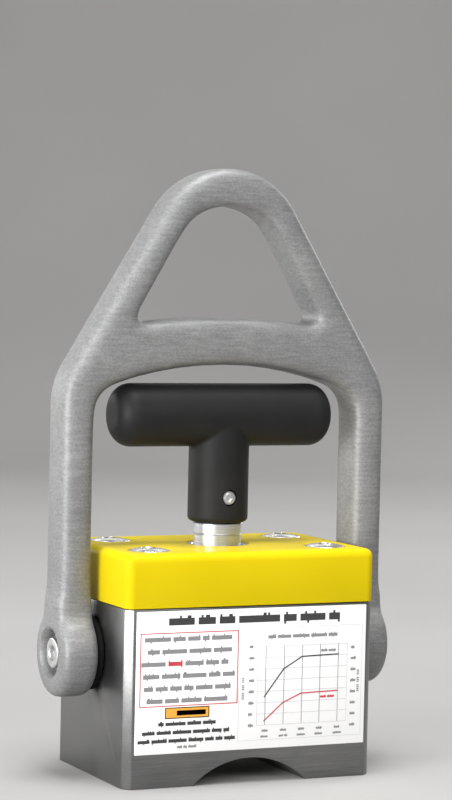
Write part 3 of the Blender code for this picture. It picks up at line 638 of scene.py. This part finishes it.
def make_bush(material):
    """The bright ring round the shaft: the flange of the bush in the cap."""
    low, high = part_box("shaft_bush")
    inner, flange, sleeve, edge = 11.0 * MM, high.x, 12.5 * MM, 0.3 * MM
    under = high.z - 1.4 * MM
    profile = [(inner + edge, high.z), (flange - edge, high.z), (flange, high.z - edge), (flange, under),
               (sleeve, under), (sleeve, low.z), (inner, low.z), (inner, high.z - edge)]
    show(turned("bush_ring", profile), material, "bright_steel", "housing", "shaft_bush")


def make_pivot_bolts(material):
    """The shoulder bolts that the bail swings on, each with a socket head in its boss."""
    for side, turn in PIVOT_SIDES:
        low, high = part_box("pivot_bolt_" + side)
        outer = max(abs(low.x), abs(high.x))
        radius = (high.z - low.z) / 2
        head, edge = 3.6 * MM, 0.6 * MM
        journal = 5 * MM
        shoulder = BLOCK_HIGH.x + 0.3 * MM
        tip = BLOCK_HIGH.x - 14 * MM
        profile = [(0, outer), (radius - edge, outer)]
        profile += corner(edge, (radius - edge, outer - edge), 75, 0, 4)
        profile += [(radius, outer - head), (journal, outer - head), (journal, shoulder),
                    (M8_SHANK, shoulder), (M8_SHANK, tip), (0, tip)]
        bolt = turned("bolt_" + side, profile, 72)
        for cutter in socket_cutters(M8_SOCKET, 2.6 * MM, 4.2 * MM, (3.1 * MM, 0.5 * MM), outer):
            cut(bolt, cutter)
        placed(welded(bolt, 28), Matrix.Translation(PIVOT) @ turn)
        show(bolt, material, "bright_steel", "housing", "pivot_bolt_" + side)


def make_pivot_washers_as_gap_shade(material):
    """A soft washer that fills the gap between each boss and the block, with a rounded rim; wider than the
    CAD washer, its near-black face is painted shade in that gap.
    """
    for side, turn in PIVOT_SIDES:
        low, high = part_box("pivot_washer_" + side)
        inner, outer = min(abs(low.x), abs(high.x)), max(abs(low.x), abs(high.x))
        # The outer radius, near the boss's own, makes the washer a black disc of painted shade behind the
        # boss.
        bore, radius, edge = 7.4 * MM, 16.3 * MM, 1.2 * MM
        profile = [(bore, outer)] + corner(edge, (radius - edge, outer - edge), 90, 0, 5)
        profile += corner(edge, (radius - edge, inner + edge), 0, -90, 5) + [(bore, inner)]
        washer = turned("washer_" + side, profile, 72)
        placed(washer, Matrix.Translation(PIVOT) @ turn)
        show(washer, material, "seal_rubber", "housing", "pivot_washer_" + side)


# ---------------------------------------------------------------- labels

LABEL_CORNER = 0.4 * MM
LETTER_SEED = 11
CURVE_WIDTH = 0.55 * MM
INKS = {"ink_black": (0.025, 0.025, 0.027), "ink_grey": (0.20, 0.20, 0.205), "ink_dim": (0.20, 0.20, 0.21),
        "ink_pale": (0.50, 0.50, 0.51), "ink_red": (0.46, 0.035, 0.045), "ink_orange": (0.72, 0.33, 0.030)}


class Print:
    """Flat ink pieces on a label. Places are shares of the label's width and height from its top
    left corner, as seen by someone who faces it."""

    def __init__(self, node, facing_front):
        low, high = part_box(node)
        self.width = high.x - low.x
        self.height = high.z - low.z
        self.left = low.x if facing_front else high.x
        self.top = high.z
        self.across = 1 if facing_front else -1
        outer = low.y if facing_front else high.y
        self.y = outer - self.across * (INK_LIFT + INK_THICKNESS / 2)
        self.name = node
        self.layers = {}
        self.random = random.Random(LETTER_SEED)

    def layer(self, color):
        return self.layers.setdefault(color, bmesh.new())

    def point(self, u, v):
        return Vector((self.left + self.across * u * self.width, self.y, self.top - v * self.height))

    def bar(self, color, u0, v0, u1, v1):
        a, b = self.point(u0, v0), self.point(u1, v1)
        size = (abs(b.x - a.x), INK_THICKNESS, abs(b.z - a.z), 1)
        matrix = Matrix.Translation((a + b) / 2) @ Matrix.Diagonal(size)
        bmesh.ops.create_cube(self.layer(color), size=1, matrix=matrix)

    def outline(self, color, u0, v0, u1, v1, line):
        du, dv = line / self.width, line / self.height
        self.bar(color, u0, v0, u1, v0 + dv)
        self.bar(color, u0, v1 - dv, u1, v1)
        self.bar(color, u0, v0 + dv, u0 + du, v1 - dv)
        self.bar(color, u1 - du, v0 + dv, u1, v1 - dv)

    def line(self, color, points, width):
        """A bent line of constant width, with round joins."""
        build = self.layer(color)
        spots = [self.point(u, v) for u, v in points]
        for a, b in zip(spots, spots[1:]):
            run = b - a
            turn = Matrix.Rotation(math.atan2(-run.z, run.x), 4, "Y")
            size = Matrix.Diagonal((run.length, INK_THICKNESS, width, 1))
            bmesh.ops.create_cube(build, size=1, matrix=Matrix.Translation((a + b) / 2) @ turn @ size)
        for spot in spots:
            bmesh.ops.create_cone(build, cap_ends=True, segments=16, radius1=width / 2, radius2=width / 2,
                                  depth=INK_THICKNESS * 0.98, matrix=Matrix.Translation(spot) @ TO_FRONT)

    def words(self, color, u0, u1, v, height):
        """A row of plain bars, one for each word of a line of print, with ticks above and below."""
        unit = height / self.width
        top, tall, base, low = (v + share * height / self.height for share in (-0.28, -0.52, 0.42, 0.66))
        u = u0
        while u < u1 - unit:
            end = min(u + unit * self.random.uniform(1.2, 4.6), u1)
            self.bar(color, u, top, end, base)
            tick = 0.22 * unit
            for _ in range(self.random.randint(1, 3)):
                spot = self.random.uniform(u, end - tick)
                self.bar(color, spot, tall, spot + tick, top)
            if self.random.random() < 0.4:
                spot = self.random.uniform(u, end - tick)
                self.bar(color, spot, base, spot + tick, low)
            u = end + 0.42 * unit

    def finish(self, inks):
        for color, build in self.layers.items():
            piece = from_bmesh(f"{self.name}_{color}", build)
            show(piece, inks[color], "label_white", "housing")


def make_film(node, material):
    """The label's film: a thin sheet with round corners and a soft edge."""
    low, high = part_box(node)
    build = bmesh.new()
    size = high - low
    bmesh.ops.create_cube(build, size=1)
    build.transform(Matrix.Translation((low + high) / 2) @ Matrix.Diagonal((*size, 1)))
    edges = [e for e in build.edges if abs(e.verts[0].co.y - e.verts[1].co.y) > size.y / 2]
    bmesh.ops.bevel(build, geom=edges, offset=LABEL_CORNER, segments=4, profile=0.5, affect="EDGES")
    film = from_bmesh(node + "_film", build)
    soften(film, 0.12 * MM, 2, 60)
    show(film, material, "label_white", "housing", node)


def print_front(inks):
    sheet = Print("front_label", True)
    sheet.words("ink_black", 0.135, 0.915, 0.070, 4.3 * MM)
    sheet.outline("ink_red", 0.016, 0.150, 0.436, 0.668, 0.42 * MM)
    rows = [(0, "ink_grey", 0.034, 0.420), (1, "ink_grey", 0.048, 0.408), (2, "ink_grey", 0.022, 0.124),
            (2, "ink_red", 0.136, 0.196), (2, "ink_grey", 0.208, 0.424), (3, "ink_grey", 0.030, 0.422),
            (4, "ink_grey", 0.034, 0.412), (5, "ink_grey", 0.046, 0.402)]
    for row, color, start, end in rows:
        sheet.words(color, start, end, 0.194 + 0.0865 * row, 2.6 * MM)
    sheet.bar("ink_orange", 0.126, 0.676, 0.315, 0.755)
    sheet.outline("ink_black", 0.126, 0.676, 0.315, 0.755, 0.40 * MM)
    sheet.bar("ink_black", 0.176, 0.699, 0.300, 0.734)
    for start, end, v in ((0.098, 0.345, 0.790), (0.030, 0.412, 0.850), (0.012, 0.428, 0.908)):
        sheet.words("ink_black", start, end, v, 2.0 * MM)
    sheet.words("ink_grey", 0.180, 0.262, 0.955, 1.3 * MM)
    print_chart(sheet)
    sheet.finish(inks)


def print_chart(sheet):
    """A blank grid with two plain rising lines, and blocks in place of its scales."""
    left, right, top, bottom = 0.520, 0.917, 0.273, 0.833
    rows, columns = 7, (0.557, 0.638, 0.718, 0.797, 0.878)
    thin = 0.16 * MM
    sheet.outline("ink_pale", 0.440, 0.140, 0.984, 0.940, thin)
    sheet.words("ink_grey", 0.565, 0.872, 0.205, 1.9 * MM)
    for i in range(rows + 1):
        v = top + (bottom - top) * i / rows
        sheet.bar("ink_pale", left, v, right, v + 0.20 * MM / sheet.height)
        sheet.words("ink_grey", 0.484, 0.506, v, 1.35 * MM)
        sheet.words("ink_grey", 0.934, 0.957, v + 0.03, 1.35 * MM)
    for u in (left, right):
        sheet.bar("ink_pale", u, top, u + thin / sheet.width, bottom)
    half = 0.13 * MM / sheet.width
    for u in columns:
        sheet.bar("ink_dim", u - half, top, u + half, bottom)
        sheet.words("ink_grey", u - 0.013, u + 0.014, 0.874, 1.2 * MM)
        sheet.words("ink_grey", u - 0.018, u + 0.020, 0.915, 1.1 * MM)
    sheet.words("ink_grey", 0.800, 0.866, 0.318, 1.25 * MM)
    sheet.words("ink_red", 0.800, 0.862, 0.650, 1.25 * MM)
    for u, v0, v1 in ((0.459, 0.490, 0.650), (0.968, 0.470, 0.630)):
        step = (v1 - v0) / 12
        for i in range(12):
            if i not in (3, 7):
                sheet.bar("ink_grey", u - 0.005, v0 + step * i, u + 0.005, v0 + step * (i + 0.62))
    upper = [(0.553, 0.632), (0.636, 0.440), (0.716, 0.357), (0.797, 0.353), (0.878, 0.350)]
    lower = [(0.553, 0.805), (0.634, 0.682), (0.714, 0.620), (0.795, 0.616), (0.876, 0.613)]
    sheet.line("ink_black", upper, CURVE_WIDTH)
    sheet.line("ink_red", lower, CURVE_WIDTH)


def print_rear(inks):
    """The rear label: a heading, an orange strip and two columns of blocks, all blank of words."""
    sheet = Print("rear_label", False)
    sheet.words("ink_black", 0.120, 0.880, 0.080, 3.8 * MM)
    sheet.bar("ink_orange", 0.030, 0.160, 0.970, 0.255)
    sheet.outline("ink_black", 0.030, 0.160, 0.970, 0.255, 0.30 * MM)
    for column in (0.035, 0.520):
        for i in range(11):
            end = column + (0.445 if i % 4 != 3 else 0.300)
            sheet.words("ink_grey", column, end, 0.315 + 0.056 * i, 1.6 * MM)
    sheet.outline("ink_red", 0.020, 0.285, 0.490, 0.915, 0.35 * MM)
    sheet.outline("ink_pale", 0.508, 0.285, 0.978, 0.915, 0.20 * MM)
    sheet.finish(inks)


def make_labels(film):
    inks = {name: ink(name, color) for name, color in INKS.items()}
    for node in ("front_label", "rear_label"):
        make_film(node, film)
    print_front(inks)
    print_rear(inks)


# ---------------------------------------------------------------- rotor

def make_shaft(material):
    """The shaft: a step with a fine groove half way up its bright length, and softened edges."""
    low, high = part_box("shaft")
    handle_low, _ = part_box("t_handle")
    upper, lower, flange, tenon, spigot = 10.7 * MM, 10.45 * MM, high.x, 7.5 * MM, 8.0 * MM
    shoulder = handle_low.z - 0.3 * MM
    step_z = 103.2 * MM
    groove = lower - 0.25 * MM
    flange_bottom, flange_top = low.z + 3.3 * MM, low.z + 6.7 * MM
    profile = [(0, high.z), (tenon - 1 * MM, high.z), (tenon, high.z - 1 * MM), (tenon, shoulder),
               (upper - 0.4 * MM, shoulder), (upper, shoulder - 0.4 * MM), (upper, step_z + 0.30 * MM),
               (upper - 0.15 * MM, step_z + 0.12 * MM), (groove, step_z), (groove, step_z - 0.2 * MM),
               (lower, step_z - 0.4 * MM), (lower, flange_top), (flange, flange_top),
               (flange, flange_bottom), (spigot, flange_bottom), (spigot, low.z), (0, low.z)]
    show(applied(turned("shaft_turned", profile, 128), 25), material, "bright_steel", "rotor", "shaft")


def make_handle(material):
    """The T-handle: two nearly equal round limbs that meet in a soft V-shaped saddle."""
    low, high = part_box("t_handle")
    bar_radius = (high.y - low.y) / 2
    bar_z = high.z - bar_radius
    half, end = high.x, 8.5 * MM
    profile = [(0, half)] + corner(end, (bar_radius - end, half - end), 90, 0, 10)
    profile += [(r, -z) for r, z in reversed(profile)]
    handle = placed(turned("grip_body", profile, 128), Matrix.Translation((0, 0, bar_z)) @ TO_RIGHT)
    stem, chamfer = 13.2 * MM, 1.3 * MM
    stem_profile = [(0, bar_z), (stem, bar_z), (stem, low.z + chamfer), (stem - chamfer, low.z), (0, low.z)]
    cut(handle, turned("stem", stem_profile, 128), "UNION")
    remeshed(handle, 0.55 * MM, 4)
    bore, bore_depth = 7.8 * MM, 25 * MM
    cut(handle, cylinder("bore", bore, 2 * bore_depth, (0, 0, low.z)))
    screw_low, screw_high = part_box("handle_screw")
    screw_z = (screw_low.z + screw_high.z) / 2
    hole, hole_depth = 3.6 * MM, 10 * MM
    cut(handle, cylinder("screw_hole", hole, 2 * hole_depth, (0, -stem, screw_z), "Y", 64))
    applied(handle, 50)
    show(handle, material, "black_plastic", "rotor", "t_handle")


def make_handle_screw(material):
    """The bright screw that holds the stem to the shaft."""
    low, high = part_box("handle_screw")
    radius, length = (high.x - low.x) / 2, high.y - low.y
    head = 3 * MM
    screw = socket_screw("handle_screw_fine", (radius, head), (radius * 0.8, length - head),
                         (3 * MM, 1.8 * MM), 0.55 * MM, 0.45 * MM)
    place = Matrix.Translation((0, low.y, (low.z + high.z) / 2)) @ TO_FRONT
    placed(screw, place @ Matrix.Rotation(0.3, 4, "Z"))
    show(screw, material, "bright_steel", "rotor", "handle_screw")


# ---------------------------------------------------------------- bail

BOSS_INNER = 61.6 * MM
POCKET_RADIUS = 9.8 * MM
POCKET_DEPTH = 4.8 * MM
POCKET_EDGE = 0.9 * MM
BORE_RADIUS = 7.3 * MM
SKIN_VOXEL = 0.9 * MM
SKIN_ROUNDS = 46                       # of smoothing
SKIN_SWELL = 0.55 * MM                 # what the smoothing takes off


def make_bail(material):
    """The cast bail: the CAD solid as one even skin with its edges and joins melted to a nearly
    round section, and its two bolt pockets cut sharp again."""
    casting = linked("bail_casting", frame["nodes"]["bail"].data.copy())
    fill = bmesh.new()
    fill.from_mesh(casting.data)
    thickness = BAIL_HIGH.x - BOSS_INNER
    radius = POCKET_RADIUS + 1 * MM
    for sign in (-1, 1):
        middle = Matrix.Translation((sign * (BOSS_INNER + thickness / 2), 0, PIVOT.z))
        bmesh.ops.create_cone(fill, cap_ends=True, segments=48, radius1=radius, radius2=radius,
                              depth=thickness, matrix=middle @ TO_RIGHT)
    fill.to_mesh(casting.data)
    fill.free()
    remeshed(casting, SKIN_VOXEL, SKIN_ROUNDS)
    swell = casting.modifiers.new("swell", "DISPLACE")
    swell.strength = SKIN_SWELL
    swell.mid_level = 0
    applied(casting, SMOOTH_ALL)
    for sign in (-1, 1):
        above, inside = 2 * MM, -22 * MM
        pocket = [(0, above), (POCKET_RADIUS + POCKET_EDGE + above, above), (POCKET_RADIUS, -POCKET_EDGE),
                  (POCKET_RADIUS, -POCKET_DEPTH), (BORE_RADIUS, -POCKET_DEPTH), (BORE_RADIUS, inside),
                  (0, inside)]
        turn = TO_RIGHT if sign > 0 else TO_LEFT
        face = Matrix.Translation((sign * BAIL_HIGH.x, 0, PIVOT.z))
        cutter = placed(turned("pocket", pocket), face @ turn)
        cut(casting, cutter)
    applied(casting, 45)
    show(casting, material, "cast_bail", "bail", "bail")


# ---------------------------------------------------------------- all of it

def finish_inner_nodes(screw, steel, rubber):
    """The CAD nodes that stay: inner pieces, and small ones that show in gaps."""
    bronze = plain_metal("bearing_bronze", (0.42, 0.27, 0.12), (0.58, 0.40, 0.19), 0.38, 6 * MM)
    nickel = plain_metal("nickel_plate", (0.48, 0.46, 0.43), (0.62, 0.60, 0.57), 0.28, 12 * MM)
    finishes = {"block_steel": steel, "bright_steel": screw, "bronze": bronze, "magnet_nickel": nickel,
                "seal_rubber": rubber}
    slots = {entry["node"]: entry["material_slot"] for entry in frame["record"]["subparts"]}
    for name, node in frame["nodes"].items():
        if not node.hide_render:
            node.data.materials.clear()
            node.data.materials.append(finishes[slots[name]])


make_camera()
make_lights()
make_floor()

STEEL = ground_steel()
SCREW = plated_screw()
GAP_SHADE_RUBBER = rubber_darkened_as_gap_shade()
make_block(STEEL)
make_cap(yellow_paint())
make_cap_screws(scuffed_screw())
make_bush(turned_steel("turned_ring", 0.70, 0.24, 0.28 * MM))
make_pivot_bolts(SCREW)
make_pivot_washers_as_gap_shade(GAP_SHADE_RUBBER)
make_labels(printed_film())
make_shaft(turned_steel("turned_steel", 0.66, 0.35, 0.32 * MM))
make_handle(moulded_black())
make_handle_screw(SCREW)
make_bail(cast_grey())
finish_inner_nodes(SCREW, STEEL, GAP_SHADE_RUBBER)
